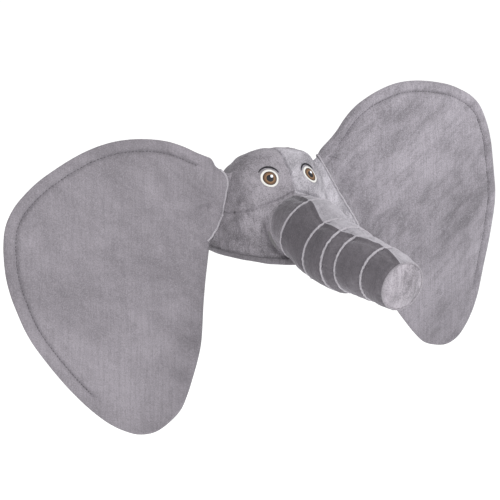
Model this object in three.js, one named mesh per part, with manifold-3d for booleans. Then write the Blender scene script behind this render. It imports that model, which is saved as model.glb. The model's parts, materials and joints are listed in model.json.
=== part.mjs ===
// Plush elephant-head hat: a padded cap that sits on a person's head, two large wired ears
// and a stuffed trunk sewn into segments by ring tucks.
// Millimetres, +Z up. The origin is the centre of the head opening, in the plane of its rim.
// The face looks along -Y, and +X is the elephant's left side.
import * as THREE from 'three';
import Module from 'manifold-3d';
import { mergeVertices } from 'three/addons/utils/BufferGeometryUtils.js';

const wasm = await Module();
wasm.setup();

// ---------------------------------------------------------------- driving dimensions
const GAP = 0.3;                  // between pieces that are sewn against each other
const CAP = { halfWidth: 96, front: 83, back: 105, height: 161 };
const CAP_STEPS = { around: 28, up: 7 };
const PANEL = 2;                  // plush pile fabric
const PADDING = 3;
const LINING = 1;
const HEM_HEIGHT = 8;
const CHEEK_SEAM = { height: 106, slope: 19 };   // at the centre; degrees it falls to the sides
const ELASTIC = { from: 25, low: 1, high: 13, thick: 1 };   // inside the back of the rim

const EYE = { x: 36, y: -46, z: 125, halfWidth: 15, halfHeight: 14.5, thick: 1.5 };
const BROW = { rise: 4, halfWidth: 18, droop: 8, peak: -6, thick: 1.5 };
const LABEL = { width: 16, height: 22, thick: 0.5, standOff: 4, low: 2 };

const EAR = {
  attach: new THREE.Vector3(82, 0, 146),   // top of the root seam, on the elephant's left
  rootLength: new THREE.Vector2(46, -112), // from the top of the root seam to its bottom
  halfThick: 5,
  face: 2,
  wall: 2.5,
  channelInset: 9,
  channel: { from: 0.03, to: 0.62, steps: 24 },   // shares of the free edge
  battingInset: 15,
  battingHalf: 2.4,
  wireRadius: 1.5,
  casing: { outer: [5, 8], inner: [3.8, 3.8] },
  hang: -9.7,                              // degrees about Y: left ear raised, right ear lowered
  sweep: { left: 1, right: 3.6 },
  lean: { left: 6.3, right: -0.7 },
};
const GUSSET_SETBACK = 5.8;       // room for the ear to swing
const GUSSET_DEPTH = 45;

const TRUNK = [                   // sewn ring tucks, from the face to the tip
  { y: -78, z: 57, r: 48 },
  { y: -100, z: 55, r: 50 },
  { y: -154, z: 35, r: 49.5 },
  { y: -216, z: 25, r: 41 },
  { y: -269, z: 20, r: 37 },
  { y: -311, z: 12, r: 33 },
];
const MIDDLE_TUCK = { segment: 2, along: 0.63, r: 47.7 };
const SKIN = 2.2;
const SOCKET_GAP = 1.5;
const BASE_RIM_ANGLE = 72;        // where the first skin starts, in degrees round the base pad's ball
const RIM_ANGLE = 77;             // where a skin starts, in degrees off the last segment's axis
const SOCKET_SETBACK = 6;         // degrees between a skin's rim and its filling
const AROUND_TRUNK = 20;
const TUCK = { width: 4, height: 2, standOff: 0.8 };
const TIP = { crown: 4, shoulder: 0.6 };
const BASE_SEAM = { halfWidth: 50, halfHeight: 44, z: 57, radius: 2 };

const GREY = { color: 0x8f8a8c, roughness: 0.9, metalness: 0 };
const LIGHT_GREY = { color: 0xa9a5a8, roughness: 0.9, metalness: 0 };
const DARK_GREY = { color: 0x6b666b, roughness: 0.9, metalness: 0 };
const FILLING = { color: 0xe8e6e0, roughness: 1, metalness: 0 };
const WHITE = { color: 0xf2f5f8, roughness: 0.6, metalness: 0 };
const BLACK = { color: 0x16161a, roughness: 0.6, metalness: 0 };
const STEEL = { color: 0xb0b4b8, roughness: 0.35, metalness: 0.9 };

const radians = THREE.MathUtils.degToRad;
const model = new THREE.Group();

// ---------------------------------------------------------------- closed meshes and booleans
// One closed body with merged corners, no empty triangles and its faces pointing out.
function closed(geometry) {
  geometry.deleteAttribute('normal');
  geometry.deleteAttribute('uv');
  const merged = mergeVertices(geometry, 1e-3);
  const point = [0, 1, 2].map(() => new THREE.Vector3());
  const index = merged.index ? [...merged.index.array] : [];
  const kept = [];
  let volume = 0;
  for (let i = 0; i < index.length; i += 3) {
    const corner = index.slice(i, i + 3);
    if (new Set(corner).size < 3) continue;
    kept.push(...corner);
    corner.forEach((vertex, k) => point[k].fromBufferAttribute(merged.attributes.position, vertex));
    volume += point[0].dot(point[1].clone().cross(point[2]));
  }
  if (volume < 0) kept.reverse();
  merged.setIndex(kept);
  return merged;
}

function solidOf(geometry) {
  const mesh = closed(geometry);
  return new wasm.Manifold(new wasm.Mesh({
    numProp: 3,
    vertProperties: new Float32Array(mesh.attributes.position.array),
    triVerts: new Uint32Array(mesh.index.array),
  }));
}

function geometryOf(solid) {
  const mesh = solid.getMesh();
  const geometry = new THREE.BufferGeometry();
  geometry.setAttribute('position', new THREE.BufferAttribute(mesh.vertProperties, 3));
  geometry.setIndex([...mesh.triVerts]);
  return geometry;
}

function add(name, geometry, look, parent = model) {
  const shown = closed(geometry);
  shown.computeVertexNormals();
  const mesh = new THREE.Mesh(shown, new THREE.MeshStandardMaterial(look));
  mesh.name = name;
  parent.add(mesh);
  return mesh;
}

function block(low, high) {
  const size = high.map((value, k) => value - low[k]);
  const box = new THREE.BoxGeometry(...size);
  box.translate(...low.map((value, k) => value + size[k] / 2));
  return box;
}

// ---------------------------------------------------------------- the cap's dome
// Half-width and half-depth of the dome's oval section at a height, inset all over.
function section(height, inset, facingFront) {
  const level = Math.max(1 - (height / (CAP.height - inset)) ** 2, 0);
  const depth = (facingFront ? CAP.front : CAP.back) - inset;
  return [(CAP.halfWidth - inset) * level ** 0.25, depth * level ** 0.5];
}

// Distance from the Z axis to the dome in the plan direction (sine, cosine); cosine is towards the face.
function planRadius(sine, cosine, height, inset) {
  const [halfWidth, depth] = section(height, inset, cosine > 0);
  if (depth < 1e-6) return 0;
  return 1 / Math.hypot(sine / halfWidth, cosine / depth);
}

function faceDepth(x, z) {
  const [halfWidth, depth] = section(z, 0, true);
  return -depth * Math.sqrt(1 - (x / halfWidth) ** 2);
}

// The solid under the dome; below the rim it goes straight down by `skirt`.
function dome(inset, skirt = 0) {
  const profile = [new THREE.Vector2(0, -skirt)];
  if (skirt > 0) profile.push(new THREE.Vector2(1, -skirt));
  for (let k = 0; k <= CAP_STEPS.up; k++) {
    const angle = (Math.PI / 2) * (k / CAP_STEPS.up);
    profile.push(new THREE.Vector2(Math.max(Math.cos(angle), 0), Math.sin(angle)));
  }
  profile[profile.length - 1].x = 0;
  const shape = new THREE.LatheGeometry(profile, CAP_STEPS.around);
  const place = shape.attributes.position;
  for (let i = 0; i < place.count; i++) {
    const [across, up, along] = [place.getX(i), place.getY(i), place.getZ(i)];
    const reach = Math.hypot(across, along);
    const height = up < 0 ? up : up * (CAP.height - inset);
    if (reach < 1e-6) {
      place.setXYZ(i, 0, 0, height);
      continue;
    }
    const sine = across / reach;
    const cosine = along / reach;
    const radius = planRadius(sine, cosine, Math.max(height, 0), inset);
    place.setXYZ(i, sine * radius, -cosine * radius, height);
  }
  return solidOf(shape);
}

function shell(outer, inner) {
  return dome(outer).subtract(dome(inner, 5));
}

const BIG = 400;
const seamHalf = GAP / 2;
const rightSide = solidOf(block([-BIG, -BIG, -BIG], [-seamHalf, BIG, BIG]));
const leftSide = solidOf(block([seamHalf, -BIG, -BIG], [BIG, BIG, BIG]));
const frontSide = solidOf(block([-BIG, -BIG, -BIG], [BIG, -seamHalf, BIG]));
const backSide = solidOf(block([-BIG, seamHalf, -BIG], [BIG, BIG, BIG]));

// Everything above (sign 1) or below (sign -1) the seam that falls from the forehead to the ear.
function besideCheekSeam(side, sign) {
  const low = sign > 0 ? seamHalf : -BIG;
  const half = block([-BIG, -BIG, low], [BIG, BIG, low + BIG - seamHalf]);
  half.rotateY(radians(side * CHEEK_SEAM.slope));
  half.translate(0, 0, CHEEK_SEAM.height);
  return solidOf(half);
}

// The seam ring where the trunk is sewn to the face: a cord that follows the dome.
function baseSeam(radius) {
  const points = [];
  const turns = 28;
  const opening = 3;
  for (let k = 0; k <= turns; k++) {
    const angle = radians(-90 + opening + (360 - 2 * opening) * (k / turns));
    const x = BASE_SEAM.halfWidth * Math.cos(angle);
    const z = BASE_SEAM.z + BASE_SEAM.halfHeight * Math.sin(angle);
    points.push(new THREE.Vector3(x, faceDepth(x, z) - BASE_SEAM.radius, z));
  }
  return tube(points, radius, 6, turns);
}

function tube(points, radius, sides, steps) {
  const section = new THREE.Shape();
  for (let k = 0; k < sides; k++) {
    const angle = (2 * Math.PI * k) / sides;
    const corner = [radius * Math.cos(angle), radius * Math.sin(angle)];
    if (k === 0) section.moveTo(...corner);
    else section.lineTo(...corner);
  }
  section.closePath();
  return along(section, points, steps);
}

function along(section, points, steps) {
  const path = new THREE.CatmullRomCurve3(points);
  return new THREE.ExtrudeGeometry(section, { steps, extrudePath: path, bevelEnabled: false });
}

// ---------------------------------------------------------------- cap: panels, padding, lining
const seamCut = solidOf(baseSeam(BASE_SEAM.radius + GAP));
const outer = shell(0, PANEL).subtract(seamCut);
const sides = [['right', rightSide, -1], ['left', leftSide, 1]];
for (const [name, half, side] of sides) {
  const front = outer.intersect(half).intersect(frontSide);
  add(`forehead_panel_${name}`, geometryOf(front.intersect(besideCheekSeam(side, 1))), GREY);
  add(`cheek_panel_${name}`, geometryOf(front.intersect(besideCheekSeam(side, -1))), GREY);
  add(`back_panel_${name}`, geometryOf(outer.intersect(half).intersect(backSide)), GREY);
}
const paddingTop = PANEL + GAP;
const liningTop = paddingTop + PADDING + GAP;
const innermost = liningTop + LINING;
add('crown_padding', geometryOf(shell(paddingTop, paddingTop + PADDING)), FILLING);
add('crown_lining', geometryOf(shell(liningTop, innermost)), DARK_GREY);

const hemZone = solidOf(block([-BIG, -BIG, 0], [BIG, BIG, HEM_HEIGHT]));
const hem = shell(-GAP - PANEL, -GAP).intersect(hemZone).subtract(seamCut);
add('hem_band', geometryOf(hem), DARK_GREY);

const elasticZone = solidOf(block([-BIG, ELASTIC.from, ELASTIC.low], [BIG, BIG, ELASTIC.high]));
const elastic = shell(innermost + GAP, innermost + GAP + ELASTIC.thick).intersect(elasticZone);
add('elastic_band', geometryOf(elastic), WHITE);

const labelBack = CAP.back - innermost - LABEL.standOff;
add('care_label', block(
  [-LABEL.width / 2, labelBack - LABEL.thick, LABEL.low],
  [LABEL.width / 2, labelBack, LABEL.low + LABEL.height],
), WHITE);

// ---------------------------------------------------------------- eyes and brows, sewn on the dome
// A flat outline pushed through the cap along the eye's own direction, kept only on the surface.
function onFace(outline, side, thick) {
  const centre = new THREE.Vector3(side * EYE.x, EYE.y, EYE.z);
  const step = 1;
  const outward = new THREE.Vector3(
    side * (faceDepth(EYE.x + step, EYE.z) - faceDepth(EYE.x, EYE.z)),
    -step,
    faceDepth(EYE.x, EYE.z + step) - faceDepth(EYE.x, EYE.z),
  ).normalize();
  const depth = 40;
  const prism = new THREE.ExtrudeGeometry(outline, { depth, steps: 1, bevelEnabled: false });
  prism.translate(0, 0, -depth / 2);
  const across = new THREE.Vector3(0, 0, 1).cross(outward).normalize();
  const up = outward.clone().cross(across);
  prism.applyMatrix4(new THREE.Matrix4().makeBasis(across, up, outward).setPosition(centre));
  return geometryOf(solidOf(prism).intersect(shell(-GAP - thick, -GAP)));
}

function eyeOutline() {
  const outline = new THREE.Shape();
  outline.absellipse(0, 0, EYE.halfWidth, EYE.halfHeight, 0, 2 * Math.PI);
  return new THREE.Shape(outline.getPoints(20).slice(0, -1));
}

// A crescent over the eye.
function browOutline() {
  const low = EYE.halfHeight + 1;
  const outline = new THREE.Shape();
  outline.moveTo(-BROW.halfWidth, low - BROW.droop);
  outline.quadraticCurveTo(BROW.peak, low + 2 * BROW.rise, BROW.halfWidth, low - 1);
  outline.quadraticCurveTo(BROW.peak, low + BROW.rise - 1, -BROW.halfWidth, low - BROW.droop);
  return new THREE.Shape(outline.getPoints(8).slice(0, -1));
}

for (const [name, , side] of sides) {
  add(`eye_${name}`, onFace(eyeOutline(), side, EYE.thick), WHITE);
  add(`brow_${name}`, onFace(browOutline(), side, BROW.thick), BLACK);
}

// ---------------------------------------------------------------- trunk base on the face
const face = dome(-GAP, 5);
const hemFace = dome(-2 * GAP - PANEL, 5).intersect(
  solidOf(block([-BIG, -BIG, -5], [BIG, BIG, HEM_HEIGHT + GAP])),
);
const base = TRUNK[0];
const ball = new THREE.SphereGeometry(base.r, AROUND_TRUNK, 12);
ball.rotateX(Math.PI / 2);
ball.translate(0, base.y, base.z);
add('trunk_base_pad', geometryOf(solidOf(ball).subtract(face).subtract(hemFace).subtract(seamCut)), FILLING);
add('trunk_base_welt', geometryOf(solidOf(baseSeam(BASE_SEAM.radius)).subtract(face)), LIGHT_GREY);

// ---------------------------------------------------------------- trunk segments
function arc(list, centre, radius, from, to, steps) {
  for (let k = 0; k <= steps; k++) {
    const angle = radians(from + ((to - from) * k) / steps);
    list.push(new THREE.Vector2(Math.max(radius * Math.sin(angle), 0), centre + radius * Math.cos(angle)));
  }
}

function addTuck(name, at, radius, parent) {
  const low = at - TUCK.width / 2;
  const inner = radius + TUCK.standOff + GAP;
  const profile = [
    [inner, low],
    [inner + TUCK.height, low],
    [inner + TUCK.height, low + TUCK.width],
    [inner, low + TUCK.width],
    [inner, low],
  ].map(([r, t]) => new THREE.Vector2(r, t));
  add(name, new THREE.LatheGeometry(profile, AROUND_TRUNK), LIGHT_GREY, parent);
}

// The cloth of one segment, between two loops that may face different ways.
function sleeve(start, end) {
  const corners = [];
  const loops = [[start, 0], [start, SKIN], [end, SKIN], [end, 0]];
  for (const [loop, thick] of loops) {
    const across = new THREE.Vector3(1, 0, 0);
    const up = across.clone().cross(loop.facing);
    for (let k = 0; k < AROUND_TRUNK; k++) {
      const angle = (2 * Math.PI * k) / AROUND_TRUNK;
      const corner = loop.centre.clone();
      corner.addScaledVector(across, (loop.radius + thick) * Math.cos(angle));
      corner.addScaledVector(up, (loop.radius + thick) * Math.sin(angle));
      corners.push(...corner.toArray());
    }
  }
  const index = [];
  for (let loop = 0; loop < loops.length; loop++) {
    const next = (loop + 1) % loops.length;
    for (let k = 0; k < AROUND_TRUNK; k++) {
      const turn = (k + 1) % AROUND_TRUNK;
      const [a, b] = [loop * AROUND_TRUNK + k, loop * AROUND_TRUNK + turn];
      const [c, d] = [next * AROUND_TRUNK + turn, next * AROUND_TRUNK + k];
      index.push(a, b, c, a, c, d);
    }
  }
  const geometry = new THREE.BufferGeometry();
  geometry.setAttribute('position', new THREE.Float32BufferAttribute(corners, 3));
  geometry.setIndex(index);
  return geometry;
}

const last = TRUNK.length - 2;
let lastFacing = null;
for (let k = 0; k <= last; k++) {
  const near = TRUNK[k];
  const far = TRUNK[k + 1];
  const start = new THREE.Vector3(0, near.y, near.z);
  const end = new THREE.Vector3(0, far.y, far.z);
  const facing = end.clone().sub(start).normalize();
  const length = end.distanceTo(start);
  const segment = new THREE.Group();
  segment.position.copy(start);
  segment.quaternion.setFromUnitVectors(new THREE.Vector3(0, 1, 0), facing);
  model.add(segment);

  // the skin's rim goes round the axis of the segment before, so that the gap to its tuck is even
  const socket = near.r + SOCKET_GAP;
  const rimAngle = lastFacing ? RIM_ANGLE : BASE_RIM_ANGLE;
  const rimFacing = lastFacing || facing;
  const rim = {
    centre: start.clone().addScaledVector(rimFacing, socket * Math.cos(radians(rimAngle))),
    facing: rimFacing,
    radius: socket * Math.sin(radians(rimAngle)) + GAP,
  };
  const endInner = far.r - SKIN;
  add(`trunk_skin_${k + 1}`, sleeve(rim, { centre: end, facing, radius: endInner }), GREY);

  // the filling starts inside the side of the rim that is nearest the segment's own axis
  const nearest = rimAngle - THREE.MathUtils.radToDeg(rimFacing.angleTo(facing));
  const rimAt = socket * Math.cos(radians(nearest));
  const rimInner = socket * Math.sin(radians(nearest)) + GAP;
  const socketAngle = nearest - SOCKET_SETBACK;
  const wallAt = socket * Math.cos(radians(socketAngle));
  const wallShare = (wallAt - rimAt) / (length - rimAt);
  const wallRadius = rimInner + (endInner - rimInner) * wallShare - GAP;
  lastFacing = facing;

  const filling = [];
  arc(filling, 0, socket, 0, socketAngle, 4);
  filling[0].x = 0;
  filling.push(new THREE.Vector2(wallRadius, wallAt));
  filling.push(new THREE.Vector2(endInner - GAP, length));
  if (k < last) {
    const lip = 90 - THREE.MathUtils.radToDeg(Math.asin(GAP / far.r));
    filling.push(new THREE.Vector2(endInner - GAP, length + GAP));
    arc(filling, length, far.r, lip, 0, 6);
    filling[filling.length - 1].x = 0;
    addTuck(`ring_tuck_${k + 1}`, length - GAP - TUCK.width / 2, far.r, segment);
  } else {
    filling.push(new THREE.Vector2(0, length + TIP.crown));
    const rimRadius = far.r - 1;
    const disc = [
      [0, length + TIP.crown + 2 * GAP],
      [rimRadius, length + 2 * GAP],
      [rimRadius, length + 2 * GAP + SKIN],
      [far.r * TIP.shoulder, length + TIP.crown + SKIN],
      [0, length + TIP.crown + 2 * SKIN],
    ].map(([r, t]) => new THREE.Vector2(r, t));
    add('trunk_tip_disc', new THREE.LatheGeometry(disc, AROUND_TRUNK), LIGHT_GREY, segment);
    addTuck('trunk_tip_welt', length - GAP, far.r, segment);
  }
  add(`trunk_filling_${k + 1}`, new THREE.LatheGeometry(filling, AROUND_TRUNK), FILLING, segment);
  if (k === MIDDLE_TUCK.segment) {
    addTuck('ring_tuck_middle', length * MIDDLE_TUCK.along, MIDDLE_TUCK.r, segment);
  }
}

// ---------------------------------------------------------------- ears
// Free edge of an ear, outward and up from the top of its root seam.
const FREE_EDGE = [
  [0, 0], [38, 22], [80, 50], [125, 66], [172, 72], [216, 68], [253, 58], [290, 44], [325, 22],
  [345, 0], [356, -33], [360, -80], [356, -120], [346, -165], [328, -210], [304, -258],
  [275, -305], [246, -340], [215, -363], [190, -370], [168, -365], [146, -357], [128, -338],
  [110, -308], [89, -262], [73, -204], [60, -156], [46, -112],
].map(([u, v]) => new THREE.Vector2(u, v));
const freeEdge = new THREE.SplineCurve(FREE_EDGE);

// Points along the free edge, moved inwards; the share of the edge runs from `from` to `to`.
function edgePoints(inset, count, from = 0, to = 1) {
  const points = [];
  for (let k = 0; k <= count; k++) {
    const share = from + ((to - from) * k) / count;
    const inward = freeEdge.getTangentAt(share);
    points.push(freeEdge.getPointAt(share).add(new THREE.Vector2(inward.y, -inward.x).multiplyScalar(inset)));
  }
  return points;
}

// Distance from a point in the ear's plane to its root seam.
function fromRoot(point) {
  const share = THREE.MathUtils.clamp(point.dot(EAR.rootLength) / EAR.rootLength.lengthSq(), 0, 1);
  return point.distanceTo(EAR.rootLength.clone().multiplyScalar(share));
}

function earOutline(inset, count) {
  return edgePoints(inset, count).filter((point) => fromRoot(point) >= inset * 0.99);
}

// A slab of an outline in the ear's plane, between two depths in front of its middle.
function slab(points, side, back, front) {
  const placed = points.map((point) => new THREE.Vector2(side * point.x, point.y));
  const geometry = new THREE.ExtrudeGeometry(new THREE.Shape(placed), {
    depth: front - back,
    steps: 1,
    bevelEnabled: false,
  });
  geometry.translate(0, 0, back);
  geometry.rotateX(Math.PI / 2);
  return geometry;
}

// A panel with a turned-in edge: it meets the other panel in the ear's middle plane.
function pan(side, facing) {
  const whole = [GAP / 2, EAR.halfThick];
  const hollow = [-1, EAR.halfThick - EAR.face];
  const range = ([low, high]) => (facing > 0 ? [low, high] : [-high, -low]);
  const body = solidOf(slab(earOutline(0, 44), side, ...range(whole)));
  return geometryOf(body.subtract(solidOf(slab(earOutline(EAR.wall, 44), side, ...range(hollow)))));
}

function rectangle([width, height]) {
  const x = width / 2;
  const y = height / 2;
  return [[-x, -y], [x, -y], [x, y], [-x, y]].map(([a, b]) => new THREE.Vector2(a, b));
}

for (const [name, , side] of sides) {
  const ear = new THREE.Group();
  ear.position.set(side * EAR.attach.x, EAR.attach.y, EAR.attach.z);
  ear.rotation.set(
    radians(-EAR.lean[name]),
    radians(EAR.hang),
    radians(side * EAR.sweep[name]),
    'ZXY',
  );
  model.add(ear);
  ear.updateMatrix();

  add(`ear_front_panel_${name}`, pan(side, 1), GREY, ear);
  add(`ear_back_panel_${name}`, pan(side, -1), DARK_GREY, ear);
  const batting = slab(earOutline(EAR.battingInset, 36), side, -EAR.battingHalf, EAR.battingHalf);
  add(`ear_batting_${name}`, batting, FILLING, ear);

  const { from, to, steps } = EAR.channel;
  const channel = edgePoints(EAR.channelInset, steps, from, to)
    .map((point) => new THREE.Vector3(side * point.x, 0, point.y));
  add(`ear_wire_${name}`, tube(channel, EAR.wireRadius, 6, steps), STEEL, ear);
  const casing = new THREE.Shape(rectangle(EAR.casing.outer));
  casing.holes.push(new THREE.Path(rectangle(EAR.casing.inner)));
  add(`ear_wire_casing_${name}`, along(casing, channel, steps), WHITE, ear);

  const root = EAR.rootLength;
  const setback = new THREE.Vector2(root.y, -root.x).normalize().multiplyScalar(GUSSET_SETBACK);
  const gusset = slab([
    setback,
    root.clone().add(setback),
    new THREE.Vector2(-GUSSET_DEPTH, root.y + 7),
    new THREE.Vector2(-GUSSET_DEPTH, -10),
  ], side, -EAR.halfThick, EAR.halfThick);
  gusset.applyMatrix4(ear.matrix);
  add(`ear_gusset_${name}`, geometryOf(solidOf(gusset).subtract(face).subtract(hemFace)), GREY);
}

export default model;
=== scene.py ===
"""Looks of the plush elephant-head hat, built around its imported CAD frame.

Metres, +Z up. The face looks along -Y, and +X is the elephant's left. The wearer's head goes in from below.
"""

import json
import math

import bmesh
import bpy
import numpy as np
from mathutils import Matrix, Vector
from mathutils.bvhtree import BVHTree


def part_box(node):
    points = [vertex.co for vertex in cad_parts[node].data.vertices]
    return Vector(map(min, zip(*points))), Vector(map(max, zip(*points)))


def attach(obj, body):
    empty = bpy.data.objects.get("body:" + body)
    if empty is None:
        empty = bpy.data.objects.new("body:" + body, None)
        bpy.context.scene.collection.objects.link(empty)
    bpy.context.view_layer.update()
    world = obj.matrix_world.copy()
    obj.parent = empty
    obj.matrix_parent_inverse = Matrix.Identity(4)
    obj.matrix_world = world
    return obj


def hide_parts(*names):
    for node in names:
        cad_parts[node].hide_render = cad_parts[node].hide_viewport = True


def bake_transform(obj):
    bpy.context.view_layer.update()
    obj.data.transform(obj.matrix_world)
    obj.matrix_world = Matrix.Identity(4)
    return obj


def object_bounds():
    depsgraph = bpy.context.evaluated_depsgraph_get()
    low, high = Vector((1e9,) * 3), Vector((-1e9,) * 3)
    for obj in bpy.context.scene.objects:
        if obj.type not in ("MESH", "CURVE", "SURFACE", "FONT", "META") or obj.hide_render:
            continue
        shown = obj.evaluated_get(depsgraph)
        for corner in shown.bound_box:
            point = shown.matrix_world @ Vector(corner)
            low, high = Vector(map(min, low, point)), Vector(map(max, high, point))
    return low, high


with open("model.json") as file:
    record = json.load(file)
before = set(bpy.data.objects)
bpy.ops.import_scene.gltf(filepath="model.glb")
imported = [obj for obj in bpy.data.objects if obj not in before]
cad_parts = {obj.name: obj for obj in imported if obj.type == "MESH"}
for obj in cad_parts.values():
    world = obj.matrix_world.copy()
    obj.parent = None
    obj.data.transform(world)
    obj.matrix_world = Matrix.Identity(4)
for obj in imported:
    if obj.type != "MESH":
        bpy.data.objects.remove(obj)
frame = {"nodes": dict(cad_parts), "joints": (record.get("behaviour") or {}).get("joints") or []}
cad_low, cad_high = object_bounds()

MM = 0.001
SIDES = {"right": -1, "left": 1}
UP = np.array([0.0, 0.0, 1.0])
TURN = 2 * math.pi

# ---------------------------------------------------------------- small numeric helpers


def ease(x):
    x = np.clip(x, 0, 1)
    return x * x * (3 - 2 * x)


def unit(v):
    v = np.asarray(v, float)
    return v / np.maximum(np.linalg.norm(v, axis=-1, keepdims=True), 1e-12)


def hump(x, middle, width):
    """A smooth hump, 1 high at the middle."""
    return np.exp(-(((x - middle) / width) ** 2))


def around(count):
    return np.linspace(0, TURN, count, endpoint=False)


def ripple(points, wavelength, seed, count=28):
    """Smooth noise at the points, about -1 to 1, with bumps about one wavelength long; the same each run."""
    rng = np.random.default_rng(seed)
    direction = unit(rng.normal(size=(count, points.shape[-1])))
    stretch = rng.uniform(0.7, 1.4, count)
    phase = rng.uniform(0, TURN, count)
    waves = np.sin(points @ (direction * (TURN / wavelength * stretch)[:, None]).T + phase)
    return waves.sum(-1) / math.sqrt(count)


def ripples(points, *layers):
    """Sum of ripples, each given as height and wavelength in millimetres, and seed."""
    return sum(height * MM * ripple(points, wavelength * MM, seed) for height, wavelength, seed in layers)


def around_noise(angle, low, high, seed, count=14):
    """Smooth noise round a closed ring, with between low and high bumps per turn."""
    rng = np.random.default_rng(seed)
    turns = rng.integers(low, high + 1, count)
    phase = rng.uniform(0, TURN, count)
    return np.sin(angle[..., None] * turns + phase).sum(-1) / math.sqrt(count)


def through(a, b, c, d, t):
    """The smooth curve through a, b, c and d, a share t of the way from b to c."""
    return 0.5 * (2 * b + (c - a) * t + (2 * a - 5 * b + 4 * c - d) * t**2 + (3 * b - a - 3 * c + d) * t**3)


def catmull(points, per_span):
    """An open smooth curve through the points, with per_span steps between each two."""
    points = np.asarray(points, float)
    last = len(points) - 1
    t = (np.arange(per_span) / per_span)[:, None]
    curve = [through(points[max(i - 1, 0)], points[i], points[i + 1], points[min(i + 2, last)], t)
             for i in range(last)]
    return np.concatenate(curve + [points[-1:]])


def run_along(line):
    """Length of the line up to each of its points."""
    return np.concatenate([[0], np.cumsum(np.linalg.norm(np.diff(line, axis=0), axis=1))])


def by_length(line, count):
    """The same line, with count points at equal steps."""
    run = run_along(line)
    at = np.linspace(0, run[-1], count)
    return np.stack([np.interp(at, run, line[:, k]) for k in range(line.shape[1])], 1)


# ---------------------------------------------------------------- mesh helpers

WELD = 2e-6                      # points closer than this are joined


def new_piece(name, points, faces, look):
    mesh = bpy.data.meshes.new(name)
    mesh.from_pydata([tuple(p) for p in np.asarray(points, float)], [], faces)
    mesh.update()
    return linked(name, mesh, look)


def linked(name, mesh, look):
    mesh.shade_smooth()
    piece = bpy.data.objects.new(name, mesh)
    bpy.context.scene.collection.objects.link(piece)
    mesh.materials.append(LOOK[look])
    return piece


def declare(piece, body=None, stands_for=()):
    """Say what the piece rides on and which CAD nodes it replaces."""
    if body:
        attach(piece, body)
    if stands_for:
        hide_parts(*stands_for)


def grid_faces(rows, columns, wrap, start=0, flip=False):
    """Quads of a grid of rows x columns points; wrap joins the last column to the first."""
    faces = []
    for i in range(rows - 1):
        for j in range(columns if wrap else columns - 1):
            k = (j + 1) % columns
            face = (start + i * columns + j, start + i * columns + k,
                    start + (i + 1) * columns + k, start + (i + 1) * columns + j)
            faces.append(face[::-1] if flip else face)
    return faces


def fan_faces(start, count, tip, flip=False):
    """Triangles from the ring of count points that begins at start to one tip point."""
    fan = [(start + j, start + (j + 1) % count, tip) for j in range(count)]
    return [(c, b, a) for a, b, c in fan] if flip else fan


def outward_faces(piece):
    work = bmesh.new()
    work.from_mesh(piece.data)
    bmesh.ops.remove_doubles(work, verts=work.verts, dist=WELD)
    bmesh.ops.recalc_face_normals(work, faces=work.faces)
    work.to_mesh(piece.data)
    work.free()
    piece.data.shade_smooth()
    return piece


def loop_tube(name, path, radius, sides, look, normals, closed=True, flatten=1.0):
    """A tube round a path. radius may be one number or one for each point; normals fix how it is turned."""
    count = len(path)
    if closed:
        tangent = unit(np.roll(path, -1, 0) - np.roll(path, 1, 0))
    else:
        tangent = unit(np.gradient(path, axis=0))
    normals = np.broadcast_to(normals, path.shape)
    first = unit(normals - (normals * tangent).sum(1, keepdims=True) * tangent)
    second = np.cross(tangent, first)
    radius = np.broadcast_to(radius, (count,))[:, None, None]
    angle = around(sides)[None, :, None]
    ring = flatten * np.cos(angle) * first[:, None] + np.sin(angle) * second[:, None]
    points = (path[:, None] + radius * ring).reshape(-1, 3)
    faces = grid_faces(count, sides, True)
    last = (count - 1) * sides
    if closed:
        faces += [(last + j, last + (j + 1) % sides, (j + 1) % sides, j) for j in range(sides)]
    else:
        faces += [tuple(range(sides)), tuple(range(last, last + sides))]
    return outward_faces(new_piece(name, points, faces, look))


# ---------------------------------------------------------------- materials

BRUSHED_PER_METRE, RIBS_PER_METRE, GRAINS_PER_METRE, THREADS_PER_METRE = 75, 360, 620, 1500

def set_sockets(tree, node, sockets):
    """Give each named socket its value, or link it to the output that feeds it."""
    for name, value in sockets.items():
        if isinstance(value, bpy.types.NodeSocket):
            tree.links.new(value, node.inputs[name])
        else:
            node.inputs[name].default_value = value


def new_node(tree, kind, output, sockets, **settings):
    node = tree.nodes.new("ShaderNode" + kind)
    for name, value in settings.items():
        setattr(node, name, value)
    set_sockets(tree, node, sockets)
    return node.outputs[output]


def shader(name, color, roughness):
    material = bpy.data.materials.new(name)
    material.use_nodes = True
    tree = material.node_tree
    principled = tree.nodes["Principled BSDF"]
    set_sockets(tree, principled, {"Base Color": (*color, 1), "Roughness": roughness})
    return material, tree, principled, new_node(tree, "TexCoord", "Object", {})


def noise_node(tree, coordinates, scale, detail=3.0, roughness=0.55):
    return new_node(tree, "TexNoise", "Fac", {"Scale": scale, "Detail": detail, "Roughness": roughness,
                                              "Vector": coordinates})


def stretched(tree, coordinates, scale, rotation=(0, 0, 0)):
    return new_node(tree, "Mapping", "Vector", {"Scale": scale, "Rotation": rotation, "Vector": coordinates})


def ranged(tree, value, low, high, to_low=0.0, to_high=1.0):
    return new_node(tree, "MapRange", "Result", {"From Min": low, "From Max": high, "To Min": to_low,
                                                 "To Max": to_high, "Value": value})


def mixed(tree, share, first, second):
    """Mix two colours; each is a colour or a socket."""
    first, second = ((*c, 1) if isinstance(c, tuple) else c for c in (first, second))
    return new_node(tree, "Mix", 2, {0: share, 6: first, 7: second}, data_type="RGBA")


def bumped(tree, principled, heights):
    """Chain bumps: pairs of (height socket, distance in metres)."""
    normal = {}
    for height, distance in heights:
        sockets = {"Strength": 1.0, "Distance": distance, "Height": height}
        normal = {"Normal": new_node(tree, "Bump", "Normal", sockets | normal)}
    set_sockets(tree, principled, normal)


def scaled(color, share):
    return tuple(min(c * share, 1) for c in color)


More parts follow.
